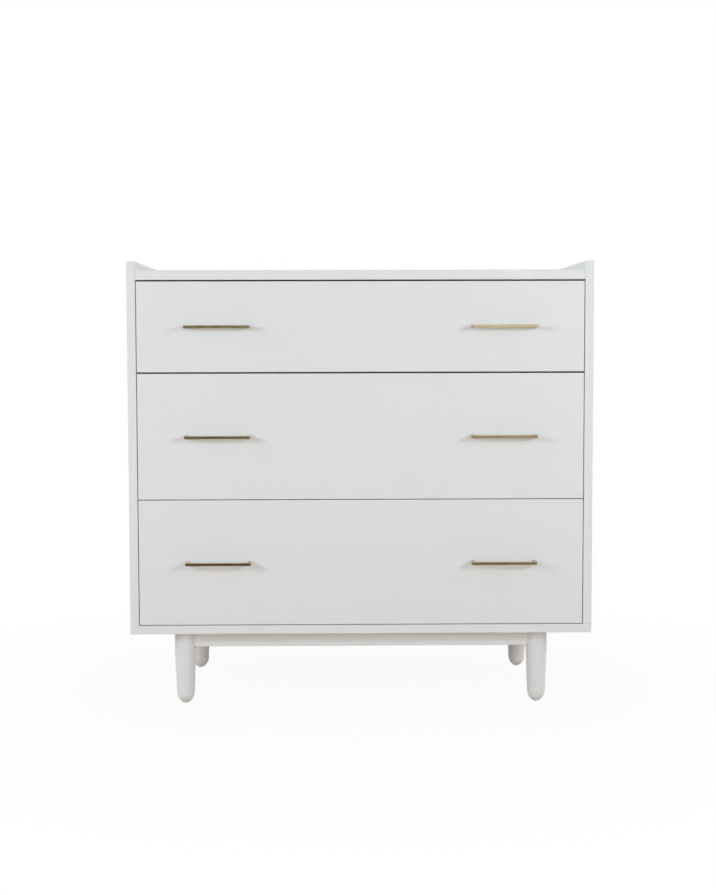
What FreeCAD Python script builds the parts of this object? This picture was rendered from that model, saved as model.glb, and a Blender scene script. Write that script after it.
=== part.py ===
"""Chest of three inset drawers on a frame of four turned legs.

The frame stands on the floor at Z = 0. X runs across the chest, Y from the front to the back and Z up,
with X = 0 and Y = 0 in the middle of the whole chest, handles included. Lengths are in millimetres.
"""
import FreeCAD, Part
import os
import Sketcher
from FreeCAD import Placement, Rotation, Vector

TIERS = ("bottom", "middle", "top")
TOUCH = 1e-6
LEAST_CUT = 1

DIMENSIONS = {
    # Case
    "width": 960,
    "case_depth": 460,
    "side_thickness": 18,
    "top_thickness": 20,
    "bottom_thickness": 18,
    "lip_height": 18,
    "edge_round": 1,
    "back_thickness": 4,
    "back_recess": 2,
    "back_lap": 9,
    "back_clearance": 0.5,
    # Leg frame
    "leg_height": 155,
    "leg_radius": 22.2,
    "leg_straight": 46,
    "leg_end_radius": 18.7,
    "leg_dome": 21.5,
    "foot_radius": 4,
    "leg_inset_side": 109,
    "leg_inset_front": 50,
    "rail_thickness": 18,
    "rail_height": 34,
    "rail_seat": 12,
    "rail_round": 1.5,
    "housing_clearance": 0.1,
    "housing_overrun": 3,
    # Drawers
    "top_front": 186,
    "middle_front": 260,
    "bottom_front": 260,
    "front_thickness": 18,
    "reveal": 1.5,
    "upper_reveal": 3,
    "box_board": 12,
    "box_lift": 14,
    "box_drop": 35,
    "box_rear_clearance": 16,
    "box_housing": 6,
    "panel_thickness": 5,
    "panel_lift": 12,
    "panel_clearance": 0.2,
    # Handles
    "handle_spacing": 128,
    "handle_bar": 6,
    "handle_projection": 30,
    "handle_inset": 165.5,
    "handle_round": 0.6,
    "handle_thread_depth": 12,
    # Ball runners
    "runner_width": 12.7,
    "runner_height": 35,
    "runner_sheet": 1,
    "race_wrap": 65,
    "runner_lift": 30,
    "runner_setback": 2,
    "runner_end_margin": 20,
    "stop_gap": 0.3,
    "stop_depth": 6,
    "ball_radius": 2,
    "ball_play": 0.3,
    "ball_pitch": 26,
    "ball_count": 4,
    "ball_pocket_play": 0.1,
    "cage_sheet": 0.7,
    "cage_play": 0.3,
    "cage_end": 6,
    # Knock-down fittings and screws
    "cam_radius": 7.5,
    "cam_depth": 13,
    "cam_reach": 34,
    "cam_axis_depth": 9,
    "cam_edge": 50,
    "cam_count": 3,
    "bolt_radius": 3.5,
    "bolt_thread_radius": 2.5,
    "bolt_thread": 11,
    "dowel_radius": 4,
    "dowel_length": 30,
    "dowel_seat": 12,
    "dowel_edge": 90,
    "dowel_count": 2,
    "dowel_chamfer": 1,
    "dowel_room": 1,
    "leg_bolt_radius": 4,
    "leg_bolt_reach": 40,
    "leg_bolt_head_radius": 8,
    "leg_bolt_head": 3,
    "leg_bolt_sink": 4,
    "screw_radius": 1.75,
    "screw_length": 16,
    "screw_head_radius": 3.5,
    "screw_head": 1,
    "short_screw_length": 11,
    "runner_screw_inset": 37,
    "back_screw_margin": 60,
    "back_screws_high": 5,
    "back_screws_wide": 4,
    "handle_screw_radius": 2,
    "handle_screw_grip": 8,
    "handle_screw_head_radius": 4,
    "handle_screw_head": 2.4,
    "box_screw_length": 40,
    "box_screw_margin": 30,
    "hole_clearance": 0.05,
}

doc = FreeCAD.newDocument("chest_of_drawers")
dims = doc.addObject("Spreadsheet::Sheet", "dims")
for row_number, (alias, size) in enumerate(DIMENSIONS.items(), start=1):
    dims.set(f"A{row_number}", alias)
    dims.set(f"B{row_number}", str(size))
    dims.setAlias(f"B{row_number}", alias)
doc.recompute()

# Places and sizes that follow from the driving dimensions
front_y = "((dims.handle_projection - dims.case_depth) / 2)"
inner_width = "(dims.width - 2 * dims.side_thickness)"
floor_z = "(dims.leg_height + dims.bottom_thickness)"
gap_under = {"bottom": "dims.reveal", "middle": "dims.reveal", "top": "dims.upper_reveal"}
front_z = {}
level = floor_z
for tier in TIERS:
    front_z[tier] = f"({level} + {gap_under[tier]})"
    level = f"({front_z[tier]} + dims.{tier}_front)"
ceiling_z = f"({level} + dims.upper_reveal)"
inner_height = f"({ceiling_z} - {floor_z})"
side_height = f"({inner_height} + dims.top_thickness + dims.lip_height)"

rebate = "(dims.back_thickness + dims.back_recess)"
rebate_y = f"(dims.case_depth - {rebate})"
back_width = f"({inner_width} + 2 * dims.back_lap - 2 * dims.back_clearance)"
back_height = f"({inner_height} + 2 * dims.back_lap - 2 * dims.back_clearance)"
back_screw_rise = f"({inner_height} - 2 * dims.back_screw_margin)"
back_screw_run = f"({inner_width} - 2 * dims.back_screw_margin)"
cam_run = "(dims.case_depth - 2 * dims.cam_edge)"
dowel_run = "(dims.case_depth - 2 * dims.dowel_edge)"
dowel_hole = "(dims.dowel_radius + dims.hole_clearance)"
dowel_reach = "(dims.dowel_length - dims.dowel_seat)"

leg_x = "(dims.width / 2 - dims.leg_inset_side)"
leg_front_y = f"({front_y} + dims.leg_inset_front)"
leg_rear_y = f"({front_y} + dims.case_depth - dims.leg_inset_front)"

front_width = f"({inner_width} - 2 * dims.reveal)"
box_width = f"({inner_width} - 2 * dims.runner_width)"
box_inner = f"({box_width} - 2 * dims.box_board)"
box_length = f"({rebate_y} - dims.front_thickness - dims.box_rear_clearance)"
box_y = f"({front_y} + dims.front_thickness)"
groove_height = "(dims.panel_thickness + dims.panel_clearance)"

handle_length = "(dims.handle_spacing + dims.handle_bar)"
handle_x = f"({front_width} / 2 - dims.handle_inset)"

runner_length = f"({box_length} - dims.runner_end_margin)"
runner_y = f"({box_y} + dims.runner_setback)"
slider_length = f"({runner_length} - dims.runner_sheet - dims.stop_gap)"
race_radius = "(dims.ball_radius + dims.ball_play)"
roll_radius = f"({race_radius} + dims.runner_sheet)"
slider_low = f"({roll_radius} + {race_radius})"
slider_high = f"(dims.runner_height - {slider_low})"
screw_room = "(dims.runner_sheet + dims.screw_head + dims.cage_play)"
cage_back = f"(dims.runner_width - {screw_room})"
cage_face = f"({cage_back} - dims.cage_sheet)"
ball_x = f"({cage_face} - dims.cage_play - {roll_radius} * sin(dims.race_wrap))"
lower_ball_z = roll_radius
upper_ball_z = f"(dims.runner_height - {roll_radius})"
cage_low = f"({lower_ball_z} - dims.cage_sheet / 2)"
cage_high = f"(dims.runner_height - {cage_low})"
cage_edge = f"({ball_x} - dims.ball_radius - 2 * dims.ball_play)"
ball_run = "((dims.ball_count - 1) * dims.ball_pitch)"
cage_length = f"({ball_run} + 2 * dims.cage_end)"
cage_y = f"(({runner_length} - {cage_length}) / 2)"

screw_hole = "(dims.screw_radius + dims.hole_clearance)"
handle_hole = "(dims.handle_screw_radius + dims.hole_clearance)"

TURNS = {
    "x": Rotation(Vector(0, 1, 0), 90),
    "-x": Rotation(Vector(0, 1, 0), -90),
    "y": Rotation(Vector(1, 0, 0), -90),
    "-y": Rotation(Vector(1, 0, 0), 90),
    "z": Rotation(),
    "-z": Rotation(Vector(1, 0, 0), 180),
}

nodes = []


def number(expression):
    """The value of an expression of the dimension sheet."""
    return float(dims.evalExpression(expression))


def spread(start, length, count):
    """Evenly spaced expressions from start over a length."""
    steps = int(number(count)) - 1
    return [f"({start} + {length} * {step} / {steps})" for step in range(steps + 1)]


def place(piece, x, y, z, turn=Rotation()):
    """Set a piece's turn and tie its position to the sheet."""
    piece.Placement = Placement(Vector(), turn)
    for axis, expression in zip("xyz", (x, y, z)):
        piece.setExpression(f"Placement.Base.{axis}", expression)


def new_body(label):
    """An empty body that becomes the node of the same name."""
    body = doc.addObject("PartDesign::Body", label)
    body.Label = label
    nodes.append(body)
    return body


def datum(body, role):
    """One of the body's own origin planes or axes."""
    return next(item for item in body.Origin.OriginFeatures if item.Role == role)


def outline(body, plane, points, arcs=None):
    """A closed sketch on an origin plane, drawn anticlockwise.

    arcs gives the stretches that are round: the point where each starts, which of its ends runs smoothly
    into the straight stretch there, and its centre.
    """
    arcs = arcs or {}
    sketch = body.newObject("Sketcher::SketchObject", "outline")
    sketch.AttachmentSupport = (datum(body, plane), "")
    sketch.MapMode = "FlatFace"
    corners = [Vector(number(across), number(up), 0) for across, up in points]
    count = len(corners)
    first = [1] * count
    last = [2] * count
    for index, corner in enumerate(corners):
        following = corners[(index + 1) % count]
        if index in arcs:
            centre = Vector(number(arcs[index][1]), number(arcs[index][2]), 0)
            outward = ((corner + following) / 2 - centre).normalize()
            stretch = Part.Arc(corner, centre + outward * centre.distanceToPoint(corner), following)
            if (corner - centre).cross(following - centre).z < 0:
                first[index], last[index] = 2, 1
        else:
            stretch = Part.LineSegment(corner, following)
        sketch.addGeometry(stretch, False)
    for index in range(count):
        after = (index + 1) % count
        smooth = arcs.get(index, [""])[0] == "end" or arcs.get(after, [""])[0] == "start"
        join = "Tangent" if smooth else "Coincident"
        sketch.addConstraint(Sketcher.Constraint(join, index, last[index], after, first[after]))
    for index, (across, up) in enumerate(points):
        for kind, expression, axis in (("DistanceX", across, -2), ("DistanceY", up, -1)):
            if expression == "0":
                sketch.addConstraint(Sketcher.Constraint("PointOnObject", index, first[index], axis))
                continue
            rule = Sketcher.Constraint(kind, -1, 1, index, first[index], number(expression))
            sketch.setExpression(f"Constraints[{sketch.addConstraint(rule)}]", expression)
    return sketch


def pad(body, sketch, length, reverse=False):
    """Thicken a sketch into a solid."""
    feature = body.newObject("PartDesign::Pad", "pad")
    feature.Profile = sketch
    feature.Reversed = reverse
    feature.setExpression("Length", length)
    doc.recompute()
    return feature


def board(label, size, corner):
    """A rectangular board with its lowest corner at the given place."""
    across, deep, high = size
    body = new_body(label)
    sketch = outline(body, "XY_Plane", [("0", "0"), (across, "0"), (across, deep), ("0", deep)])
    pad(body, sketch, high)
    place(body, *corner)
    return body


def round_edges(body, belongs, radius):
    """Round the edges of the body's latest feature whose two ends both satisfy a test."""
    base = body.Tip
    names = []
    for index, edge in enumerate(base.Shape.Edges, start=1):
        if all(belongs(vertex.Point) for vertex in edge.Vertexes):
            names.append(f"Edge{index}")
    feature = body.newObject("PartDesign::Fillet", "rounding")
    feature.Base = (base, names)
    feature.setExpression("Radius", radius)
    doc.recompute()


def at_front(point):
    """True on the face that looks out of the front of the chest, in the body's own frame."""
    return abs(point.y) < TOUCH


def slot(body, corner, size):
    """Cut a box out of a body."""
    feature = body.newObject("PartDesign::SubtractiveBox", "slot")
    for name, expression in zip(("Length", "Width", "Height"), size):
        feature.setExpression(name, expression)
    place(feature, *corner)
    return feature


def bore(body, start, direction, radius, depth):
    """Drill a round hole from a point along an axis."""
    feature = body.newObject("PartDesign::SubtractiveCylinder", "bore")
    feature.setExpression("Radius", radius)
    feature.setExpression("Height", depth)
    place(feature, *start, TURNS[direction])
    return feature


def row(body, feature, axis, length, count):
    """Repeat the latest feature along an axis of the body."""
    pattern = body.newObject("PartDesign::LinearPattern", "row")
    pattern.Originals = [feature]
    pattern.Direction = (datum(body, f"{axis.upper()}_Axis"), [""])
    pattern.setExpression("Length", length)
    pattern.setExpression("Occurrences", count)
    body.Tip = pattern
    return pattern


def mirror(label, source):
    """The left-hand twin of a right-hand piece."""
    twin = doc.addObject("Part::Mirroring", label)
    twin.Label = label
    twin.Source = source
    twin.Base = Vector()
    twin.Normal = Vector(1, 0, 0)
    nodes.append(twin)
    return twin


def group(label, shapes):
    """A node that holds several like pieces as separate solids."""
    piece = doc.addObject("Part::Feature", label)
    piece.Label = label
    piece.Shape = Part.makeCompound(shapes)
    piece.Placement = Placement()
    nodes.append(piece)
    return piece


def set_at(shape, point, turn):
    """A copy of a shape, turned and moved to a point given as expressions."""
    copy = shape.copy()
    copy.Placement = Placement(Vector(*[number(part) for part in point]), turn)
    return copy


def turned(points):
    """A solid of revolution about Z through (radius, height) pairs given as expressions."""
    corners = [Vector(number(radius), 0, number(height)) for radius, height in points]
    face = Part.Face(Part.makePolygon(corners + corners[:1]))
    return face.revolve(Vector(), Vector(0, 0, 1), 360)


def headed_screw(head_radius, head, shank_radius, shank):
    """A screw along Z, with the seat of its head at Z = 0 and its shank below."""
    return turned([("0", f"-({shank})"), (shank_radius, f"-({shank})"), (shank_radius, "0"),
                   (head_radius, "0"), (head_radius, head), ("0", head)])


def make_side_panels():
    """The sides stand on the bottom panel and rise past the top as lips."""
    body = board("right_side_panel", ("dims.side_thickness", "dims.case_depth", side_height),
                 (f"{inner_width} / 2", front_y, floor_z))
    top = number(side_height)
    round_edges(body, lambda point: at_front(point) or abs(point.z - top) < TOUCH, "dims.edge_round")
    slot(body, ("0", rebate_y, "0"), ("dims.back_lap", rebate, f"{inner_height} + dims.back_lap"))
    upper_bolt = bore(body, ("0", "dims.cam_edge", f"{inner_height} + dims.cam_axis_depth"), "x",
                      "dims.bolt_thread_radius + dims.hole_clearance", "dims.bolt_thread")
    row(body, upper_bolt, "y", cam_run, "dims.cam_count")
    lower_cam = bore(body, ("0", "dims.cam_edge", "dims.cam_reach"), "x",
                     "dims.cam_radius + dims.hole_clearance", "dims.cam_depth")
    row(body, lower_cam, "y", cam_run, "dims.cam_count")
    lower_bolt = bore(body, ("dims.cam_axis_depth", "dims.cam_edge", "0"), "z",
                      "dims.bolt_radius + dims.hole_clearance", "dims.cam_reach")
    row(body, lower_bolt, "y", cam_run, "dims.cam_count")
    upper_dowel = bore(body, ("0", "dims.dowel_edge", f"{inner_height} + dims.top_thickness / 2"), "x",
                       dowel_hole, "dims.dowel_seat")
    row(body, upper_dowel, "y", dowel_run, "dims.dowel_count")
    lower_dowel = bore(body, ("dims.side_thickness / 2", "dims.dowel_edge", "0"), "z", dowel_hole,
                       f"{dowel_reach} + dims.dowel_room")
    row(body, lower_dowel, "y", dowel_run, "dims.dowel_count")
    for tier in TIERS:
        start = ("0", "dims.front_thickness + dims.runner_setback + dims.runner_screw_inset",
                 f"{runner_z(tier)} + dims.runner_height / 2 - {floor_z}")
        screws = bore(body, start, "x", screw_hole, "dims.screw_length - dims.runner_sheet")
        row(body, screws, "y", f"{runner_length} - 2 * dims.runner_screw_inset", "2")
    rear = bore(body, ("dims.back_lap / 2", rebate_y, "dims.back_screw_margin"), "-y", screw_hole,
                "dims.screw_length - dims.back_thickness")
    row(body, rear, "z", back_screw_rise, "dims.back_screws_high")
    mirror("left_side_panel", body)


def make_top_panel():
    """The top lies between the sides, held by cams from below."""
    body = board("top_panel", (inner_width, "dims.case_depth", "dims.top_thickness"),
                 (f"-{inner_width} / 2", front_y, ceiling_z))
    round_edges(body, at_front, "dims.edge_round")
    slot(body, ("0", rebate_y, "0"), (inner_width, rebate, "dims.back_lap"))
    for x, direction in (("0", "x"), (inner_width, "-x")):
        bolt = bore(body, (x, "dims.cam_edge", "dims.cam_axis_depth"), direction,
                    "dims.bolt_radius + dims.hole_clearance", "dims.cam_reach")
        row(body, bolt, "y", cam_run, "dims.cam_count")
        dowel = bore(body, (x, "dims.dowel_edge", "dims.top_thickness / 2"), direction, dowel_hole,
                     f"{dowel_reach} + dims.dowel_room")
        row(body, dowel, "y", dowel_run, "dims.dowel_count")
    for x in ("dims.cam_reach", f"{inner_width} - dims.cam_reach"):
        cam = bore(body, (x, "dims.cam_edge", "0"), "z",
                   "dims.cam_radius + dims.hole_clearance", "dims.cam_depth")
        row(body, cam, "y", cam_run, "dims.cam_count")
    rear = bore(body, ("dims.back_screw_margin", rebate_y, "dims.back_lap / 2"), "-y", screw_hole,
                "dims.screw_length - dims.back_thickness")
    row(body, rear, "x", back_screw_run, "dims.back_screws_wide")


def make_bottom_panel():
    """The bottom runs the full width under the sides and carries the legs."""
    body = board("bottom_panel", ("dims.width", "dims.case_depth", "dims.bottom_thickness"),
                 ("-dims.width / 2", front_y, "dims.leg_height"))
    round_edges(body, at_front, "dims.edge_round")
    start = "dims.side_thickness - dims.back_lap"
    slot(body, (start, rebate_y, "dims.bottom_thickness - dims.back_lap"),
         (f"{inner_width} + 2 * dims.back_lap", rebate, "dims.back_lap"))
    for x in ("dims.side_thickness - dims.cam_axis_depth",
              "dims.width - dims.side_thickness + dims.cam_axis_depth"):
        bolt = bore(body, (x, "dims.cam_edge", "dims.bottom_thickness"), "-z",
                    "dims.bolt_thread_radius + dims.hole_clearance", "dims.bolt_thread")
        row(body, bolt, "y", cam_run, "dims.cam_count")
    for x in ("dims.side_thickness / 2", "dims.width - dims.side_thickness / 2"):
        dowel = bore(body, (x, "dims.dowel_edge", "dims.bottom_thickness"), "-z", dowel_hole,
                     "dims.dowel_seat")
        row(body, dowel, "y", dowel_run, "dims.dowel_count")
    for x in ("dims.leg_inset_side", "dims.width - dims.leg_inset_side"):
        for y in ("dims.leg_inset_front", "dims.case_depth - dims.leg_inset_front"):
            bore(body, (x, y, "0"), "z", "dims.leg_bolt_radius + dims.hole_clearance",
                 "dims.bottom_thickness")
            bore(body, (x, y, "dims.bottom_thickness"), "-z",
                 "dims.leg_bolt_head_radius + dims.hole_clearance", "dims.leg_bolt_sink")
    rear = bore(body, ("dims.side_thickness + dims.back_screw_margin", rebate_y,
                       "dims.bottom_thickness - dims.back_lap / 2"), "-y", screw_hole,
                "dims.screw_length - dims.back_thickness")
    row(body, rear, "x", back_screw_run, "dims.back_screws_wide")


def make_back_panel():
    """The thin back is screwed into a rebate all round the case."""
    edge = "(dims.back_lap / 2 - dims.back_clearance)"
    first_screw = "(dims.back_lap - dims.back_clearance + dims.back_screw_margin)"
    body = board("back_panel", (back_width, "dims.back_thickness", back_height),
                 (f"-{back_width} / 2", f"{front_y} + {rebate_y}",
                  f"{floor_z} - dims.back_lap + dims.back_clearance"))
    for x in (edge, f"{back_width} - {edge}"):
        upright = bore(body, (x, "0", first_screw), "y", screw_hole, "dims.back_thickness")
        row(body, upright, "z", back_screw_rise, "dims.back_screws_high")
    for z in (edge, f"{back_height} - {edge}"):
        level_row = bore(body, (first_screw, "0", z), "y", screw_hole, "dims.back_thickness")
        row(body, level_row, "x", back_screw_run, "dims.back_screws_wide")


def make_leg(label, x, y, quarter_turns):
    """A turned leg with an ogive foot and two housings for rails, towards its own -X and +Y."""
    body = new_body(label)
    shoulder = "(dims.leg_height - dims.leg_straight)"
    swell = "(dims.leg_end_radius - dims.foot_radius)"
    dome_radius = f"(({swell} * {swell} + dims.leg_dome * dims.leg_dome) / (2 * {swell}))"
    profile = outline(body, "XZ_Plane", [
        ("0", "0"), ("dims.foot_radius", "0"), ("dims.leg_end_radius", "dims.leg_dome"),
        ("dims.leg_radius", shoulder), ("dims.leg_radius", "dims.leg_height"), ("0", "dims.leg_height"),
    ], arcs={1: ("end", f"dims.leg_end_radius - {dome_radius}", "dims.leg_dome")})
    turning = body.newObject("PartDesign::Revolution", "turning")
    turning.Profile = profile
    turning.ReferenceAxis = (datum(body, "Z_Axis"), [""])
    turning.Angle = 360
    doc.recompute()
    housing_width = "(dims.rail_thickness + 2 * dims.housing_clearance)"
    housing_depth = "(dims.leg_radius - dims.rail_seat)"
    housing_height = "(dims.rail_height + dims.housing_overrun)"
    low = f"dims.leg_height - {housing_height}"
    slot(body, ("-dims.leg_radius", f"-{housing_width} / 2", low),
         (housing_depth, housing_width, housing_height))
    slot(body, (f"-{housing_width} / 2", "dims.rail_seat", low),
         (housing_width, housing_depth, housing_height))
    bore(body, ("0", "0", "dims.leg_height"), "-z",
         "dims.leg_bolt_radius + dims.hole_clearance", "dims.leg_bolt_reach")
    place(body, x, y, "0", Rotation(Vector(0, 0, 1), 90 * quarter_turns))


def make_leg_frame():
    """Four legs joined by rails under the case."""
    make_leg("leg_front_right", leg_x, leg_front_y, 0)
    make_leg("leg_rear_right", leg_x, leg_rear_y, 1)
    make_leg("leg_rear_left", f"-{leg_x}", leg_rear_y, 2)
    make_leg("leg_front_left", f"-{leg_x}", leg_front_y, 3)
    rail_z = "dims.leg_height - dims.rail_height"
    half = "dims.rail_thickness / 2"
    across = f"(2 * {leg_x} - 2 * dims.rail_seat)"
    deep = f"({leg_rear_y} - {leg_front_y} - 2 * dims.rail_seat)"

    def at_foot(point):
        return abs(point.z) < TOUCH

    for label, y in (("front_rail", leg_front_y), ("rear_rail", leg_rear_y)):
        body = board(label, (across, "dims.rail_thickness", "dims.rail_height"),
                     (f"-{across} / 2", f"{y} - {half}", rail_z))
        round_edges(body, at_foot, "dims.rail_round")
    right = board("right_rail", ("dims.rail_thickness", deep, "dims.rail_height"),
                  (f"{leg_x} - {half}", f"{leg_front_y} + dims.rail_seat", rail_z))
    round_edges(right, at_foot, "dims.rail_round")
    mirror("left_rail", right)


def runner_z(tier):
    """Height of the lower edge of a drawer's runners."""
    return f"({front_z[tier]} + dims.box_lift + dims.runner_lift)"


def race_tip(radius, outward, centre_z, upward):
    """The end of an edge rolled round a ball: outward and upward are the signs of its way from the ball."""
    return (f"{ball_x} + ({outward}) * {radius} * sin(dims.race_wrap)",
            f"{centre_z} + ({upward}) * {radius} * cos(dims.race_wrap)")


def make_case_runner(tier):
    """The fixed channel of a ball runner: its edges roll over the balls, and a tab stops it at the back."""
    body = new_body(f"case_runner_{tier}_right")
    wide, high, sheet = "dims.runner_width", "dims.runner_height", "dims.runner_sheet"
    web = f"({wide} - {sheet})"
    low_ball = (ball_x, lower_ball_z)
    high_ball = (ball_x, upper_ball_z)
    channel = outline(body, "XZ_Plane", [
        (wide, "0"), (wide, high), (ball_x, high),
        race_tip(roll_radius, -1, upper_ball_z, 1), race_tip(race_radius, -1, upper_ball_z, 1),
        (ball_x, f"{high} - {sheet}"), (web, f"{high} - {sheet}"), (web, sheet),
        (ball_x, sheet), race_tip(race_radius, -1, lower_ball_z, -1),
        race_tip(roll_radius, -1, lower_ball_z, -1), (ball_x, "0"),
    ], arcs={2: ("start", *high_ball), 4: ("end", *high_ball),
             8: ("start", *low_ball), 10: ("end", *low_ball)})
    pad(body, channel, runner_length, reverse=True)
    stop = body.newObject("PartDesign::AdditiveBox", "stop")
    stop_face = f"({cage_face} - dims.stop_depth)"
    for name, expression in (("Length", f"{web} - {stop_face}"), ("Width", sheet),
                             ("Height", f"{slider_high} - {slider_low}")):
        stop.setExpression(name, expression)
    place(stop, stop_face, f"{runner_length} - {sheet}", slider_low)
    screws = bore(body, (web, "dims.runner_screw_inset", f"{high} / 2"), "x", screw_hole, sheet)
    row(body, screws, "y", f"{runner_length} - 2 * dims.runner_screw_inset", "2")
    place(body, f"{inner_width} / 2 - {wide}", runner_y, runner_z(tier))
    mirror(f"case_runner_{tier}_left", body)


def make_drawer_runner(tier):
    """The sliding channel of a ball runner, rolled under the balls and screwed to the side of the drawer."""
    body = new_body(f"drawer_{tier}_runner_right")
    sheet = "dims.runner_sheet"
    low_ball = (ball_x, lower_ball_z)
    high_ball = (ball_x, upper_ball_z)
    channel = outline(body, "XZ_Plane", [
        ("0", slider_low), (ball_x, slider_low),
        race_tip(race_radius, 1, lower_ball_z, 1), race_tip(roll_radius, 1, lower_ball_z, 1),
        (ball_x, f"{slider_low} + {sheet}"), (sheet, f"{slider_low} + {sheet}"),
        (sheet, f"{slider_high} - {sheet}"), (ball_x, f"{slider_high} - {sheet}"),
        race_tip(roll_radius, 1, upper_ball_z, -1), race_tip(race_radius, 1, upper_ball_z, -1),
        (ball_x, slider_high), ("0", slider_high),
    ], arcs={1: ("start", *low_ball), 3: ("end", *low_ball),
             7: ("start", *high_ball), 9: ("end", *high_ball)})
    pad(body, channel, slider_length, reverse=True)
    screws = bore(body, ("0", "dims.runner_screw_inset", "dims.runner_height / 2"), "x", screw_hole, sheet)
    row(body, screws, "y", f"{runner_length} - 2 * dims.runner_screw_inset", "2")
    place(body, f"{box_width} / 2", runner_y, runner_z(tier))
    mirror(f"drawer_{tier}_runner_left", body)


def make_cages(tier):
    """The two strips that keep a drawer's bearing balls apart, and the balls in them."""
    corner = (f"{box_width} / 2", f"{runner_y} + {cage_y}", runner_z(tier))
    strip = doc.addObject("PartDesign::Body", f"cage_strip_{tier}")
    thin = "dims.cage_sheet"
    section = outline(strip, "XZ_Plane", [
        (cage_edge, cage_low), (cage_back, cage_low), (cage_back, cage_high), (cage_edge, cage_high),
        (cage_edge, f"{cage_high} - {thin}"), (cage_face, f"{cage_high} - {thin}"),
        (cage_face, f"{cage_low} + {thin}"), (cage_edge, f"{cage_low} + {thin}"),
    ])
    pad(strip, section, cage_length, reverse=True)
    pockets = bore(strip, (ball_x, "dims.cage_end", "0"), "z",
                   "dims.ball_radius + dims.ball_pocket_play", "dims.runner_height")
    row(strip, pockets, "y", ball_run, "dims.ball_count")
    place(strip, *corner)
    doc.recompute()
    across = Vector(1, 0, 0)
    group(f"runner_cages_{tier}", [strip.Shape, strip.Shape.mirror(Vector(), across)])

    balls = []
    ball = Part.makeSphere(number("dims.ball_radius"))
    for z in (lower_ball_z, upper_ball_z):
        for y in spread("dims.cage_end", ball_run, "dims.ball_count"):
            centre = (f"{corner[0]} + {ball_x}", f"{corner[1]} + {y}", f"{corner[2]} + {z}")
            right = set_at(ball, centre, Rotation())
            balls += [right, right.mirror(Vector(), across)]
    group(f"runner_balls_{tier}", balls)


def handle_holes(tier):
    """Where the handle screws pass through a drawer front: (x, z) in the chest's frame."""
    z = f"({front_z[tier]} + dims.{tier}_front / 2)"
    return [(f"({side} * {handle_x} + {end} * dims.handle_spacing / 2)", z)
            for side in (-1, 1) for end in (-1, 1)]


def make_drawer_box(tier):
    """A drawer front with a box behind it: housed sides, a back between them and a grooved-in bottom."""
    height = f"dims.{tier}_front"
    box_height = f"({height} - dims.box_lift - dims.box_drop)"
    box_z = f"({front_z[tier]} + dims.box_lift)"
    groove_z = "(dims.box_lift + dims.panel_lift)"
    deep = "dims.box_housing"

    front = board(f"drawer_{tier}_front", (front_width, "dims.front_thickness", height),
                  (f"-{front_width} / 2", front_y, front_z[tier]))
    round_edges(front, at_front, "dims.edge_round")
    rear_face = f"dims.front_thickness - {deep}"
    for x in (f"({front_width} - {box_width}) / 2", f"({front_width} + {box_width}) / 2 - dims.box_board"):
        slot(front, (x, rear_face, "dims.box_lift"), ("dims.box_board", deep, box_height))
    slot(front, (f"({front_width} - {box_inner}) / 2", rear_face, groove_z), (box_inner, deep, groove_height))
    for x, z in handle_holes(tier):
        bore(front, (f"{front_width} / 2 + {x}", "0", f"{z} - {front_z[tier]}"), "y", handle_hole,
             "dims.front_thickness")

    side = board(f"drawer_{tier}_right_side", ("dims.box_board", f"{box_length} + {deep}", box_height),
                 (f"{box_width} / 2 - dims.box_board", f"{box_y} - {deep}", box_z))
    slot(side, ("0", "0", "dims.panel_lift"), (deep, f"{box_length} + {deep}", groove_height))
    runner_screws = bore(side, ("dims.box_board", f"{deep} + dims.runner_setback + dims.runner_screw_inset",
                                "dims.runner_lift + dims.runner_height / 2"), "-x", screw_hole,
                         "dims.short_screw_length - dims.runner_sheet")
    row(side, runner_screws, "y", f"{runner_length} - 2 * dims.runner_screw_inset", "2")
    joint_y = f"{deep} + {box_length} - dims.box_board / 2"
    joint_screws = bore(side, ("0", joint_y, "dims.box_screw_margin"), "x", screw_hole, "dims.box_board")
    row(side, joint_screws, "z", f"{box_height} - 2 * dims.box_screw_margin", "2")
    mirror(f"drawer_{tier}_left_side", side)

    back = board(f"drawer_{tier}_back", (box_inner, "dims.box_board", box_height),
                 (f"-{box_inner} / 2", f"{box_y} + {box_length} - dims.box_board", box_z))
    slot(back, ("0", "0", "dims.panel_lift"), (box_inner, deep, groove_height))
    for x, direction in (("0", "x"), (box_inner, "-x")):
        joint_screws = bore(back, (x, "dims.box_board / 2", "dims.box_screw_margin"), direction, screw_hole,
                            "dims.box_screw_length - dims.box_board")
        row(back, joint_screws, "z", f"{box_height} - 2 * dims.box_screw_margin", "2")

    in_groove = f"({deep} - dims.panel_clearance)"
    panel_length = f"({box_length} - dims.box_board + 2 * {in_groove})"
    board(f"drawer_{tier}_bottom", (f"{box_inner} + 2 * {in_groove}", panel_length, "dims.panel_thickness"),
          (f"-{box_inner} / 2 - {in_groove}", f"{box_y} - {in_groove}",
           f"{front_z[tier]} + {groove_z} + dims.panel_clearance / 2"))


def make_handles(tier):
    """Two square bar handles, each bent back to the front at both ends."""
    body = new_body(f"drawer_{tier}_handle_right")
    long, bar, out = handle_length, "dims.handle_bar", "dims.handle_projection"
    bow = outline(body, "XY_Plane", [
        ("0", "0"), (long, "0"), (long, out), (f"{long} - {bar}", out), (f"{long} - {bar}", bar),
        (bar, bar), (bar, out), ("0", out),
    ])
    pad(body, bow, bar)
    round_edges(body, at_front, "dims.handle_round")
    for x in (f"{bar} / 2", f"{long} - {bar} / 2"):
        bore(body, (x, out, f"{bar} / 2"), "-y", handle_hole, "dims.handle_thread_depth")
    place(body, f"{handle_x} - {long} / 2", f"{front_y} - {out}",
          f"{front_z[tier]} + dims.{tier}_front / 2 - {bar} / 2")
    mirror(f"drawer_{tier}_handle_left", body)


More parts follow.
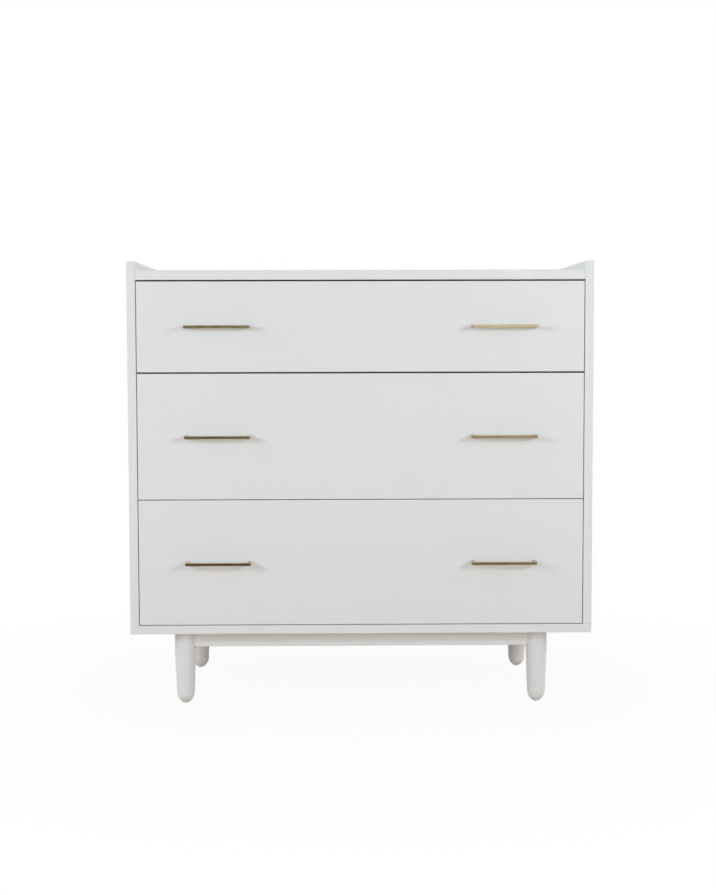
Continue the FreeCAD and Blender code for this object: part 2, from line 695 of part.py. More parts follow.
def make_drawer_screws(tier):
    """The screws of a drawer: handles from inside, sides to back, runners to sides."""
    height = f"dims.{tier}_front"
    box_z = f"({front_z[tier]} + dims.box_lift)"
    box_top = f"({front_z[tier]} + {height} - dims.box_drop)"
    handle_screw = headed_screw("dims.handle_screw_head_radius", "dims.handle_screw_head",
                                "dims.handle_screw_radius", "dims.front_thickness + dims.handle_screw_grip")
    box_screw = headed_screw("dims.screw_head_radius", "dims.screw_head", "dims.screw_radius",
                             "dims.box_screw_length")
    runner_screw = headed_screw("dims.screw_head_radius", "dims.screw_head", "dims.screw_radius",
                                "dims.short_screw_length")
    shapes = [set_at(handle_screw, (x, box_y, z), TURNS["y"]) for x, z in handle_holes(tier)]
    for sign, direction in ((1, "x"), (-1, "-x")):
        face = f"({sign} * {box_width} / 2)"
        rear = f"{box_y} + {box_length} - dims.box_board / 2"
        for z in (f"{box_z} + dims.box_screw_margin", f"{box_top} - dims.box_screw_margin"):
            shapes.append(set_at(box_screw, (face, rear, z), TURNS[direction]))
        z = f"{runner_z(tier)} + dims.runner_height / 2"
        for y in runner_screw_places():
            seat = (f"{face} + {sign} * dims.runner_sheet", y, z)
            shapes.append(set_at(runner_screw, seat, TURNS[direction]))
    group(f"drawer_{tier}_screws", shapes)


def runner_screw_places():
    """Where the runners' screws lie along the chest's depth."""
    return spread(f"({runner_y} + dims.runner_screw_inset)",
                  f"({runner_length} - 2 * dims.runner_screw_inset)", "2")


def make_case_screws():
    """The screws of the back panel and of the runners on the case."""
    screw = headed_screw("dims.screw_head_radius", "dims.screw_head", "dims.screw_radius",
                         "dims.screw_length")
    rear = f"{front_y} + dims.case_depth - dims.back_recess"
    shapes = []
    for z in spread(f"({floor_z} + dims.back_screw_margin)", back_screw_rise, "dims.back_screws_high"):
        for sign in (1, -1):
            x = f"{sign} * ({inner_width} / 2 + dims.back_lap / 2)"
            shapes.append(set_at(screw, (x, rear, z), TURNS["y"]))
    for x in spread(f"(dims.back_screw_margin - {inner_width} / 2)", back_screw_run, "dims.back_screws_wide"):
        for z in (f"{floor_z} - dims.back_lap / 2", f"{ceiling_z} + dims.back_lap / 2"):
            shapes.append(set_at(screw, (x, rear, z), TURNS["y"]))
    for tier in TIERS:
        z = f"{runner_z(tier)} + dims.runner_height / 2"
        for y in runner_screw_places():
            for sign, direction in ((1, "-x"), (-1, "x")):
                seat = (f"{sign} * ({inner_width} / 2 - dims.runner_sheet)", y, z)
                shapes.append(set_at(screw, seat, TURNS[direction]))
    group("case_screws", shapes)


def make_knock_down_fittings():
    """Cam locks and the bolts that they draw in, at the corners of the case."""
    disc = Part.makeCylinder(number("dims.cam_radius"), number("dims.cam_depth"))
    entry = Part.makeCylinder(number("dims.bolt_radius + dims.hole_clearance"), number("dims.cam_radius"),
                              Vector(0, 0, number("dims.cam_axis_depth")), Vector(1, 0, 0))
    cam = disc.cut(entry)
    bolt = turned([("0", "-dims.bolt_thread"), ("dims.bolt_thread_radius", "-dims.bolt_thread"),
                   ("dims.bolt_thread_radius", "0"), ("dims.bolt_radius", "0"),
                   ("dims.bolt_radius", "dims.cam_reach"), ("0", "dims.cam_reach")])
    half_turn = Rotation(Vector(0, 0, 1), 180)
    cams = []
    bolts = []
    for y in spread(f"({front_y} + dims.cam_edge)", cam_run, "dims.cam_count"):
        for sign, turn in ((1, Rotation()), (-1, half_turn)):
            inner_face = f"({sign} * {inner_width} / 2)"
            cams.append(set_at(cam, (f"{inner_face} - {sign} * dims.cam_reach", y, ceiling_z), turn))
            cams.append(set_at(cam, (inner_face, y, f"{floor_z} + dims.cam_reach"), turn * TURNS["x"]))
            bolts.append(set_at(bolt, (inner_face, y, f"{ceiling_z} + dims.cam_axis_depth"),
                                turn * TURNS["-x"]))
            end_bore = f"{inner_face} + {sign} * dims.cam_axis_depth"
            bolts.append(set_at(bolt, (end_bore, y, floor_z), Rotation()))
    group("cam_locks", cams)
    group("cam_bolts", bolts)


def make_dowels():
    """Wooden dowels that keep the sides in line with the top and the bottom, between the cams."""
    end = "(dims.dowel_radius - dims.dowel_chamfer)"
    dowel = turned([("0", "-dims.dowel_seat"), (end, "-dims.dowel_seat"),
                    ("dims.dowel_radius", "dims.dowel_chamfer - dims.dowel_seat"),
                    ("dims.dowel_radius", f"{dowel_reach} - dims.dowel_chamfer"), (end, dowel_reach),
                    ("0", dowel_reach)])
    dowels = []
    for y in spread(f"({front_y} + dims.dowel_edge)", dowel_run, "dims.dowel_count"):
        for sign, inward in ((1, "-x"), (-1, "x")):
            inner_face = f"({sign} * {inner_width} / 2)"
            mid_side = f"{inner_face} + {sign} * dims.side_thickness / 2"
            mid_top = f"{ceiling_z} + dims.top_thickness / 2"
            dowels.append(set_at(dowel, (inner_face, y, mid_top), TURNS[inward]))
            dowels.append(set_at(dowel, (mid_side, y, floor_z), TURNS["z"]))
    group("dowels", dowels)


def make_leg_bolts():
    """Bolts down through the bottom panel into the legs, their heads sunk below its surface."""
    shank = "dims.bottom_thickness - dims.leg_bolt_sink + dims.leg_bolt_reach"
    bolt = headed_screw("dims.leg_bolt_head_radius", "dims.leg_bolt_head", "dims.leg_bolt_radius", shank)
    seat = f"{floor_z} - dims.leg_bolt_sink"
    group("leg_bolts", [set_at(bolt, (f"{sign} * {leg_x}", y, seat), Rotation())
                        for sign in (1, -1) for y in (leg_front_y, leg_rear_y)])


def check_model():
    """Stop if a feature failed, cut nothing, or left a node without a sound solid."""
    for item in doc.Objects:
        if {"Invalid", "Error"} & set(item.State):
            raise RuntimeError(f"{item.Label} did not build: {item.State}")
        if item.TypeId.startswith("PartDesign::Subtractive"):
            removed = item.BaseFeature.Shape.Volume - item.Shape.Volume
            if removed < LEAST_CUT:
                raise RuntimeError(f"{item.Label} of {item.getParentGeoFeatureGroup().Label} cuts nothing")
    for node in nodes:
        if node.Shape.isNull() or not node.Shape.isValid() or not node.Shape.Solids:
            raise RuntimeError(f"{node.Label} has no sound solid")


make_side_panels()
make_top_panel()
make_bottom_panel()
make_back_panel()
make_leg_frame()
make_knock_down_fittings()
make_dowels()
make_leg_bolts()
make_case_screws()
for tier in TIERS:
    make_case_runner(tier)
    make_drawer_runner(tier)
    make_cages(tier)
    make_drawer_box(tier)
    make_handles(tier)
    make_drawer_screws(tier)
doc.recompute()
check_model()

os.makedirs("parts", exist_ok=True)
for node in nodes:
    node.Shape.exportStep(f"parts/{node.Label}.step")
print(len(nodes), "nodes written")
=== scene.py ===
"""Finish, light and camera for a white chest of three drawers with brass bar handles.

Lengths are in metres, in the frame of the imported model: X across, Y from front to back, Z up.
"""

import math

import bmesh
import bpy
from mathutils import Matrix, Vector


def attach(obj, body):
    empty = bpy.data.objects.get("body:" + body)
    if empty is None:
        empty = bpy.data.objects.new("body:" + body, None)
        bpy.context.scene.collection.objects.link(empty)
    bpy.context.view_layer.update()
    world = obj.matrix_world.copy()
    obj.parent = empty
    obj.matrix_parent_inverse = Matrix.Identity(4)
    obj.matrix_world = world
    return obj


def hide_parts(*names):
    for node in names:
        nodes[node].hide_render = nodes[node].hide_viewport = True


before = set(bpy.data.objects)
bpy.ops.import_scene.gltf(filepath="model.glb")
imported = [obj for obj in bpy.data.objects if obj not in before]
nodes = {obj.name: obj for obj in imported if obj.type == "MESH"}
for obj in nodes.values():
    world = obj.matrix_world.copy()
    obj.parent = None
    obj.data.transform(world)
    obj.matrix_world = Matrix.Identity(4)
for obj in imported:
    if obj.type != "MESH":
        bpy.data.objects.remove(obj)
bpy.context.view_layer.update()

TIERS = ("bottom", "middle", "top")
SIDES = ("left", "right")
MM = 0.001

# The photograph: its frame in pixels, and the camera that was fitted to it, with angles in radians
PHOTO_WIDTH = 716
PHOTO_HEIGHT = 895
SENSOR_MM = 36.0
FOCAL_PIXELS = 1542.5
CAMERA_PLACE = Vector((-0.0477, -3.393, 0.7593))
CAMERA_YAW = 0.01307
CAMERA_PITCH = 0.06794
CAMERA_ROLL = -0.00227

# Colours of bare metal and wood
BRASS = (0.64, 0.50, 0.27, 1)
DULL_BRASS = (0.45, 0.345, 0.17, 1)
ZINC = (0.62, 0.64, 0.67, 1)
DULL_ZINC = (0.47, 0.48, 0.49, 1)
CAST_ZINC = (0.50, 0.50, 0.49, 1)
DULL_CAST_ZINC = (0.36, 0.36, 0.36, 1)
STEEL = (0.66, 0.67, 0.69, 1)
GREASY_STEEL = (0.56, 0.55, 0.51, 1)
BEECH = (0.52, 0.34, 0.19, 1)
DARK_BEECH = (0.40, 0.24, 0.12, 1)
BEECH_FLECK = (0.25, 0.13, 0.06, 1)

# Noise scales of wood across and along its fibres, and the range that most noise values lie in
ACROSS_FIBRES = 260.0
ALONG_FIBRES = 9.0
NOISE_RANGE = (0.3, 0.7)

# Screws: how close points are one point, and how close levels along the shank are one level
SAME_POINT = 0.001 * MM
SAME_LEVEL = 0.01 * MM

# The tip in shares of the shank's radius, and the head's steps in shares of its height and radius
TIP_LENGTH = 0.9
TIP_RADIUS = 0.30
HEAD_STEPS = ((0.0, 0.97), (0.30, 1.0), (0.62, 0.95), (0.86, 0.85), (0.97, 0.72))

# Recesses: widths as shares of the head's radius, rim and floor as shares of the opening
HEXAGON_FLAT = 0.34
HEXAGON_DEPTH_OF_HEAD = 0.8
HEXAGON_FLOOR = 0.97
CROSS_REACH = 0.56
CROSS_HALF_WIDTH = 0.13
CROSS_DEPTH_OF_SHANK = 0.72
CROSS_FLOOR = 0.5
CROSS_POINT_OF_DEPTH = 0.15
RIM_OF_DEPTH = 0.08
RIM_SHARE = 0.97

# Each screw is turned on from the last by these degrees, and edges sharper than this angle stay sharp
SCREW_TURN = 37
SHARP_ANGLE = 34

# The studio: its floor, with the distances over which the shadow fades out, and the tints of its lamps
WHITE = (1, 1, 1, 1)
FLOOR_REACH = 12.0
FLOOR_SHADE = 0.08
FLOOR_FADE = (0.45, 1.2)
FLOOR_COLOUR = (0.9, 0.9, 0.9, 1)
FLOOR_BOUNCE = (0.625, 0.525, 0.435, 1)
WORLD_LIGHT = 0.03
COOL = (0.82, 1.0, 1.17)
WARM = (1.08, 1.0, 0.90)
PLAIN = (1.0, 1.0, 1.0)

# The glowing card that paints reflections of a dim room, which only mirror images show: its size, and the
# spans of X and Z over which its colours blend
ROOM_HALF_WIDTH = 4.5
ROOM_NEAR = -0.55
ROOM_FAR = -4.2
ROOM_LOW = 1 * MM
ROOM_HIGH = 3.8
ROOM_BLEND_X = (-0.6, 0.8)
ROOM_BLEND_Z = (0.4, 1.0)
ROOM_LOW_LEFT = (0.03, 0.02, 0.005, 1)
ROOM_LOW_RIGHT = (0.12, 0.10, 0.07, 1)
ROOM_UPPER = (0.32, 0.36, 0.44, 1)

# The bright oval that glows on the card's far wall as a painted reflection: its middle, its half sizes, and
# where its glow fades out
OVAL_X = 0.80
OVAL_Z = 1.05
OVAL_HALF_WIDTH = 0.75
OVAL_HALF_HEIGHT = 0.55
OVAL_FADE = (0.35, 1.0)
OVAL_LIGHT = (4.6, 5.1, 6.0, 1)


class Graph:
    """A node tree with short ways to add nodes and to join them."""

    def __init__(self, tree):
        self.tree = tree

    def add(self, kind, inputs=None, **settings):
        """A new node; inputs gives values or sockets to link, by socket name or number."""
        node = self.tree.nodes.new(kind)
        for name, value in settings.items():
            setattr(node, name, value)
        for name, value in (inputs or {}).items():
            self.put(node, name, value)
        return node

    def put(self, node, name, value):
        """Set an input of a node, or link a socket to it."""
        if isinstance(value, bpy.types.NodeSocket):
            self.tree.links.new(value, node.inputs[name])
        else:
            node.inputs[name].default_value = value

    def math(self, operation, first, second=0.0):
        """A Math node's result."""
        return self.add("ShaderNodeMath", {0: first, 1: second}, operation=operation).outputs[0]

    def blend(self, first, share, second):
        """Two values added, the first by its share and the second by the rest."""
        return self.math("ADD", self.math("MULTIPLY", first, share), self.math("MULTIPLY", second, 1 - share))

    def span(self, value, given, wanted):
        """A value mapped from a given range to a wanted one, and held to it."""
        return self.add("ShaderNodeMapRange", dict(enumerate((value, *given, *wanted)))).outputs[0]

    def mix(self, factor, first, second):
        """Two colours, or sockets of colour, mixed by a factor."""
        return self.add("ShaderNodeMix", {0: factor, 6: first, 7: second}, data_type="RGBA").outputs[2]

    def noise(self, place, scale=1.0, detail=2.0, rough=0.5):
        """A noise value over a place."""
        inputs = {"Vector": place, "Scale": scale, "Detail": detail, "Roughness": rough}
        return self.add("ShaderNodeTexNoise", inputs).outputs[0]

    def stretched(self, place, scale):
        """A place scaled by a different amount along each axis."""
        return self.add("ShaderNodeMapping", {"Vector": place, "Scale": scale}).outputs[0]

    def bump(self, height, depth, strength, normal=None):
        """A bump of a height field, over another bump if one is given."""
        inputs = {"Height": height, "Distance": depth, "Strength": strength}
        if normal is not None:
            inputs["Normal"] = normal
        return self.add("ShaderNodeBump", inputs).outputs[0]


class Finish(Graph):
    """A material on a Principled shader."""

    def __init__(self, name, **sockets):
        self.material = bpy.data.materials.new(name)
        self.material.use_nodes = True
        super().__init__(self.material.node_tree)
        self.shader = self.tree.nodes["Principled BSDF"]
        self.set(**sockets)
        self.place = self.add("ShaderNodeTexCoord").outputs["Object"]

    def set(self, **inputs):
        """Set or link the shader's inputs, by their names with underscores."""
        for name, value in inputs.items():
            self.put(self.shader, name.replace("_", " "), value)
        return self.material


def empty_graph(owner):
    """The graph of a material or a world, cleared of its first nodes."""
    owner.use_nodes = True
    graph = Graph(owner.node_tree)
    graph.tree.nodes.clear()
    return graph


def white(level, warmth):
    """A near-white colour; warmth lowers its blue, and its green by a part of that."""
    green_part = 0.35
    return (level, level * (1 - green_part * warmth), level * (1 - warmth), 1.0)


def lacquer(name, grain=None):
    """White satin lacquer with a faint orange peel; grain is the noise scale of wood that shows through."""
    finish = Finish(name, Specular_IOR_Level=0.42, Coat_Weight=0.08, Coat_Roughness=0.22)
    drift = finish.noise(finish.place, scale=3.1, detail=3.0)
    cloud = finish.noise(finish.place, scale=24.0)
    colour = finish.mix(finish.blend(drift, 0.7, cloud), white(0.800, 0.002), white(0.775, 0.012))
    peel = finish.noise(finish.place, scale=620.0)
    waves = finish.noise(finish.place, scale=11.0)
    normal = finish.bump(waves, depth=0.6 * MM, strength=0.12)
    if grain:
        fibres = finish.noise(finish.stretched(finish.place, grain), detail=5.0, rough=0.62)
        colour = finish.mix(finish.span(fibres, (0.38, 0.72), (0.0, 0.28)), colour, white(0.742, 0.022))
        normal = finish.bump(fibres, depth=0.3 * MM, strength=0.22, normal=normal)
    normal = finish.bump(peel, depth=0.06 * MM, strength=0.35, normal=normal)
    sheen = finish.noise(finish.place, scale=46.0, detail=4.0)
    rough = finish.span(sheen, NOISE_RANGE, (0.37, 0.49))
    return finish.set(Base_Color=colour, Roughness=rough, Normal=normal)


def melamine():
    """White melamine-faced board with its fine pebble."""
    finish = Finish("white_melamine", Specular_IOR_Level=0.4)
    drift = finish.noise(finish.place, scale=5.0)
    colour = finish.mix(drift, white(0.790, 0.010), white(0.765, 0.020))
    cells = {"Vector": finish.place, "Scale": 900.0}
    pebble = finish.add("ShaderNodeTexVoronoi", cells, feature="SMOOTH_F1").outputs["Distance"]
    normal = finish.bump(pebble, depth=0.09 * MM, strength=0.5)
    rough = finish.span(pebble, (0.1, 0.7), (0.44, 0.56))
    return finish.set(Base_Color=colour, Roughness=rough, Normal=normal)


def hardboard():
    """Thin hardboard with a printed white face and a faint screen texture."""
    finish = Finish("white_hardboard", Specular_IOR_Level=0.35)
    fleck = finish.noise(finish.place, scale=340.0, detail=3.0, rough=0.6)
    drift = finish.noise(finish.place, scale=6.0, detail=3.0)
    colour = finish.mix(finish.blend(fleck, 0.5, drift), white(0.775, 0.022), white(0.725, 0.050))
    wires = {"Vector": finish.place, "Scale": 210.0, "Distortion": 0.6}
    screen = [finish.add("ShaderNodeTexWave", wires, bands_direction=axis).outputs[1] for axis in ("X", "Z")]
    weave = finish.math("ADD", *screen)
    normal = finish.bump(fleck, depth=0.15 * MM, strength=0.3)
    normal = finish.bump(weave, depth=0.12 * MM, strength=0.25, normal=normal)
    rough = finish.span(fleck, NOISE_RANGE, (0.52, 0.70))
    return finish.set(Base_Color=colour, Roughness=rough, Normal=normal)


def brushed(name, base, dull, stretch, roughness, depth):
    """A brushed metal; stretch gives the noise scale along each axis, low along the brush lines."""
    finish = Finish(name, Metallic=1.0)
    strokes = finish.noise(finish.stretched(finish.place, stretch), detail=4.0, rough=0.65)
    patina = finish.noise(finish.place, scale=55.0, detail=3.0)
    colour = finish.mix(finish.span(patina, (0.35, 0.7), (0.0, 0.7)), base, dull)
    colour = finish.mix(finish.span(strokes, (0.35, 0.75), (0.0, 0.30)), colour, dull)
    rough = finish.span(strokes, NOISE_RANGE, roughness)
    normal = finish.bump(strokes, depth, strength=0.5)
    return finish.set(Base_Color=colour, Roughness=rough, Normal=normal)


def zinc_casting():
    """Dull die-cast zinc of the cam fittings."""
    finish = Finish("zinc_casting", Metallic=1.0)
    grain = finish.noise(finish.place, scale=900.0, detail=3.0, rough=0.6)
    bloom = finish.noise(finish.place, scale=120.0, detail=3.0)
    colour = finish.mix(bloom, CAST_ZINC, DULL_CAST_ZINC)
    rough = finish.span(grain, NOISE_RANGE, (0.38, 0.62))
    normal = finish.bump(grain, depth=0.08 * MM, strength=0.5)
    return finish.set(Base_Color=colour, Roughness=rough, Normal=normal)


def bearing_steel():
    """Polished bearing steel under a film of grease."""
    finish = Finish("bearing_steel", Metallic=1.0, Coat_Weight=0.25, Coat_Roughness=0.12)
    smear = finish.noise(finish.place, scale=420.0, detail=3.0)
    colour = finish.mix(smear, STEEL, GREASY_STEEL)
    rough = finish.span(smear, NOISE_RANGE, (0.07, 0.24))
    return finish.set(Base_Color=colour, Roughness=rough)


def beech():
    """Plain planed beech, with short flecks along its grain."""
    finish = Finish("beech", Specular_IOR_Level=0.3)
    fibres = finish.noise(finish.stretched(finish.place, (60.0, 900.0, 900.0)), detail=4.0, rough=0.6)
    fleck = finish.noise(finish.stretched(finish.place, (300.0, 2400.0, 2400.0)))
    colour = finish.mix(fibres, BEECH, DARK_BEECH)
    colour = finish.mix(finish.span(fleck, (0.6, 0.8), (0.0, 0.5)), colour, BEECH_FLECK)
    rough = finish.span(fibres, NOISE_RANGE, (0.55, 0.70))
    normal = finish.bump(fibres, depth=0.1 * MM, strength=0.4)
    return finish.set(Base_Color=colour, Roughness=rough, Normal=normal)


def make_finishes():
    """Every material of the chest, by a short name."""
    fine, long = ACROSS_FIBRES, ALONG_FIBRES
    return {
        "lacquer": lacquer("white_lacquer"),
        "upright wood": lacquer("white_lacquer_on_upright_wood", (fine, fine, long)),
        "wood across": lacquer("white_lacquer_on_wood_across", (long, fine, fine)),
        "wood along": lacquer("white_lacquer_on_wood_along", (fine, long, fine)),
        "melamine": melamine(),
        "hardboard": hardboard(),
        "brass": brushed("brushed_brass", BRASS, DULL_BRASS, stretch=(45.0, 2600.0, 2600.0),
                         roughness=(0.26, 0.42), depth=0.04 * MM),
        "sheet": brushed("zinc_sheet", ZINC, DULL_ZINC, stretch=(900.0, 30.0, 900.0),
                         roughness=(0.24, 0.40), depth=0.04 * MM),
        "screw": brushed("zinc_screw", ZINC, DULL_ZINC, stretch=(500.0, 500.0, 500.0),
                         roughness=(0.26, 0.44), depth=0.03 * MM),
        "casting": zinc_casting(),
        "steel": bearing_steel(),
        "beech": beech(),
    }


def finish_nodes(finishes):
    """Give every node of the model its material."""
    wanted = {
        "top_panel": "lacquer", "bottom_panel": "lacquer", "back_panel": "hardboard",
        "front_rail": "wood across", "rear_rail": "wood across", "dowels": "beech",
        "cam_locks": "casting", "cam_bolts": "screw", "leg_bolts": "screw", "case_screws": "screw",
    }
    for side in SIDES:
        wanted.update({
            f"{side}_side_panel": "lacquer", f"{side}_rail": "wood along",
            f"leg_front_{side}": "upright wood", f"leg_rear_{side}": "upright wood",
        })
    for tier in TIERS:
        wanted.update({
            f"drawer_{tier}_front": "lacquer", f"drawer_{tier}_back": "melamine",
            f"drawer_{tier}_bottom": "hardboard", f"drawer_{tier}_screws": "screw",
            f"runner_cages_{tier}": "sheet", f"runner_balls_{tier}": "steel",
        })
        for side in SIDES:
            wanted.update({
                f"drawer_{tier}_{side}_side": "melamine", f"drawer_{tier}_handle_{side}": "brass",
                f"drawer_{tier}_runner_{side}": "sheet", f"case_runner_{tier}_{side}": "sheet",
            })
    for name, node in nodes.items():
        node.data.materials.clear()
        node.data.materials.append(finishes[wanted[name]])


def add_mesh(name, points, faces, material):
    """A new object of points and faces, in the scene."""
    mesh = bpy.data.meshes.new(name)
    mesh.from_pydata(points, [], faces)
    mesh.materials.append(material)
    piece = bpy.data.objects.new(name, mesh)
    bpy.context.scene.collection.objects.link(piece)
    return piece


def split_solids(node):
    """The points of each separate solid of a node, in the frame of the model."""
    mesh = bmesh.new()
    mesh.from_mesh(node.data)
    mesh.transform(node.matrix_world)
    bmesh.ops.remove_doubles(mesh, verts=mesh.verts, dist=SAME_POINT)
    mesh.verts.index_update()
    seen = set()
    solids = []
    for first in mesh.verts:
        if first.index in seen:
            continue
        seen.add(first.index)
        points, waiting = [], [first]
        while waiting:
            vert = waiting.pop()
            points.append(vert.co.copy())
            for edge in vert.link_edges:
                other = edge.other_vert(vert)
                if other.index not in seen:
                    seen.add(other.index)
                    waiting.append(other)
        solids.append(points)
    mesh.free()
    return solids


class Screw:
    """The line and the sizes of a plain headed pin, read from its points."""

    def __init__(self, points):
        low = Vector([min(point[i] for point in points) for i in range(3)])
        high = Vector([max(point[i] for point in points) for i in range(3)])
        self.along = max(range(3), key=lambda i: high[i] - low[i])
        middle = (low + high) / 2
        reach = {}
        for point in points:
            out = point - middle
            out[self.along] = 0.0
            reach.setdefault(round(point[self.along] / SAME_LEVEL), []).append(out.length)
        levels = sorted(reach)
        if max(reach[levels[0]]) > max(reach[levels[-1]]):
            levels.reverse()
        self.shank = max(reach[levels[0]])
        self.head = max(reach[levels[-1]])
        self.length = abs(levels[-1] - levels[0]) * SAME_LEVEL
        wide = [level for level in levels if max(reach[level]) > (self.shank + self.head) / 2]
        self.seat = abs(wide[0] - levels[0]) * SAME_LEVEL
        self.way = 1.0 if levels[-1] > levels[0] else -1.0
        self.tip = middle.copy()
        self.tip[self.along] = levels[0] * SAME_LEVEL

    def place(self, height, radius, angle):
        """The point at a height above the tip and at a radius and an angle round the line."""
        across = [i for i in range(3) if i != self.along]
        point = self.tip.copy()
        point[self.along] += self.way * height
        point[across[0]] += radius * math.cos(angle)
        point[across[1]] += radius * math.sin(angle)
        return point


def cross_outline(reach, half):
    """Angles and radii round a cross of four arms with a half width."""
    corner = math.degrees(math.atan2(half, reach))
    outline = []
    for start in (0, 90, 180, 270):
        outline.append((start, reach))
        outline.append((start + corner, math.hypot(reach, half)))
        for turn in ((corner + 45) / 2, 45, (135 - corner) / 2):
            outline.append((start + turn, half / math.sin(math.radians(min(turn, 90 - turn)))))
        outline.append((start + 90 - corner, math.hypot(reach, half)))
    return [(math.radians(turn), radius) for turn, radius in outline]


def hexagon_outline(reach):
    """Angles and radii round a hexagon, by the distance of its flats."""
    outline = []
    for turn in range(0, 360, 15):
        outline.append((math.radians(turn), reach / math.cos(math.radians((turn + 30) % 60 - 30))))
    return outline


def add_screw(screw, turn, socket, points, faces):
    """Add a low domed head with a driver's recess, and its shank, to a list of points and faces."""
    head, shank, top = screw.head, screw.shank, screw.length
    rise = top - screw.seat
    if socket:
        outline = hexagon_outline(HEXAGON_FLAT * head)
        depth = HEXAGON_DEPTH_OF_HEAD * rise
        floor_share = HEXAGON_FLOOR
        point_depth = 0.0
    else:
        outline = cross_outline(CROSS_REACH * head, CROSS_HALF_WIDTH * head)
        depth = CROSS_DEPTH_OF_SHANK * shank
        floor_share = CROSS_FLOOR
        point_depth = CROSS_POINT_OF_DEPTH * depth
    rings = [(0.0, TIP_RADIUS * shank), (TIP_LENGTH * shank, shank), (screw.seat, shank)]
    rings += [(screw.seat + height * rise, share * head) for height, share in HEAD_STEPS]
    recess = [(top, 1.0), (top - RIM_OF_DEPTH * depth, RIM_SHARE), (top - depth, floor_share)]
    start = len(points)
    count = len(outline)
    for height, radius in rings:
        points.extend(screw.place(height, radius, angle + turn) for angle, _ in outline)
    for height, share in recess:
        points.extend(screw.place(height, share * radius, angle + turn) for angle, radius in outline)
    last = start + (len(rings) + len(recess) - 1) * count
    for row in range(start, last, count):
        above = row + count
        for i in range(count):
            j = (i + 1) % count
            faces.append((row + i, row + j, above + j, above + i))
    for row, height in ((start, 0.0), (last, top - depth - point_depth)):
        points.append(screw.place(height, 0.0, 0.0))
        faces.extend((row + i, row + (i + 1) % count, len(points) - 1) for i in range(count))


def make_screws(finish):
    """Screws and bolts with shaped heads in place of the plain ones."""
    bodies = {"case_screws": "case", "leg_bolts": "case"}
    bodies.update({f"drawer_{tier}_screws": f"drawer_{tier}" for tier in TIERS})
    for name, body in bodies.items():
        points, faces = [], []
        for number, solid in enumerate(split_solids(nodes[name])):
            add_screw(Screw(solid), math.radians(SCREW_TURN * number), name == "leg_bolts", points, faces)
        screws = add_mesh(f"{name}_shaped", points, faces, finish)
        shape = bmesh.new()
        shape.from_mesh(screws.data)
        bmesh.ops.recalc_face_normals(shape, faces=shape.faces)
        shape.to_mesh(screws.data)
        shape.free()
        screws.data.shade_smooth()
        screws.data.set_sharp_from_angle(angle=math.radians(SHARP_ANGLE))
        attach(screws, body)
        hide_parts(name)


def show_rays(graph):
    """1 for the rays that show a surface or its mirror image, 0 for those that only light it."""
    path = graph.add("ShaderNodeLightPath").outputs
    shown = graph.math("MAXIMUM", path["Is Camera Ray"], path["Is Glossy Ray"])
    return graph.math("MAXIMUM", shown, path["Is Transmission Ray"])


def make_floor():
    """A pale floor that shows white and keeps a faint shadow of the chest, and bounces a warm light."""
    material = bpy.data.materials.new("pale_floor")
    graph = empty_graph(material)
    seen = show_rays(graph)
    place = graph.add("ShaderNodeTexCoord").outputs["Object"]
    away = graph.add("ShaderNodeVectorMath", {0: place}, operation="LENGTH").outputs["Value"]
    share = graph.span(away, FLOOR_FADE, (FLOOR_SHADE, 0.0))
    bounce = graph.add("ShaderNodeBsdfDiffuse", {"Color": FLOOR_BOUNCE}).outputs[0]
    shade = graph.add("ShaderNodeBsdfDiffuse", {"Color": FLOOR_COLOUR}).outputs[0]
    glow = graph.add("ShaderNodeEmission", {"Color": WHITE, "Strength": 1.0}).outputs[0]
    shown = graph.add("ShaderNodeMixShader", {0: share, 1: glow, 2: shade}).outputs[0]
    both = graph.add("ShaderNodeMixShader", {0: seen, 1: bounce, 2: shown}).outputs[0]
    graph.add("ShaderNodeOutputMaterial", {"Surface": both})
    low, high = -FLOOR_REACH, FLOOR_REACH
    corners = [(low, low, 0), (high, low, 0), (high, high, 0), (low, high, 0)]
    floor = add_mesh("floor", corners, [(0, 1, 2, 3)], material)


def make_painted_reflections():
    """A glowing card, seen only in mirror images, that paints reflections of the dim side of the room in
    front of the chest and of a bright oval.
    """
    material = bpy.data.materials.new("painted_room_reflection")
    graph = empty_graph(material)
    place = graph.add("ShaderNodeTexCoord").outputs["Object"]
    part = graph.add("ShaderNodeSeparateXYZ", {0: place}).outputs
    height = graph.span(part["Z"], ROOM_BLEND_Z, (0.0, 1.0))
    across = graph.span(part["X"], ROOM_BLEND_X, (0.0, 1.0))
    # Painted reflection: the card's walls glow dim, darkest low on the left, brighter low on the right and
    # cool above
    lower = graph.mix(across, ROOM_LOW_LEFT, ROOM_LOW_RIGHT)
    walls = graph.mix(height, lower, ROOM_UPPER)
    # Painted reflection: a bright cool oval glows on the far wall, fading out from its middle
    aside = graph.math("DIVIDE", graph.math("SUBTRACT", part["X"], OVAL_X), OVAL_HALF_WIDTH)
    higher = graph.math("DIVIDE", graph.math("SUBTRACT", part["Z"], OVAL_Z), OVAL_HALF_HEIGHT)
    squares = [graph.math("POWER", offset, 2.0) for offset in (aside, higher)]
    away = graph.math("SQRT", graph.math("ADD", *squares))
    lit = graph.mix(graph.span(away, OVAL_FADE, (1.0, 0.0)), walls, OVAL_LIGHT)
    glow = graph.add("ShaderNodeEmission", {"Color": lit}).outputs[0]
    graph.add("ShaderNodeOutputMaterial", {"Surface": glow})
    left, right = -ROOM_HALF_WIDTH, ROOM_HALF_WIDTH
    corners = [(left, ROOM_NEAR, ROOM_LOW), (right, ROOM_NEAR, ROOM_LOW),
               (right, ROOM_FAR, ROOM_LOW), (left, ROOM_FAR, ROOM_LOW),
               (right, ROOM_FAR, ROOM_HIGH), (left, ROOM_FAR, ROOM_HIGH)]
    room = add_mesh("room", corners, [(0, 1, 2, 3), (3, 2, 4, 5)], material)
    for rays in ("camera", "diffuse", "transmission", "volume_scatter", "shadow"):
        setattr(room, f"visible_{rays}", False)


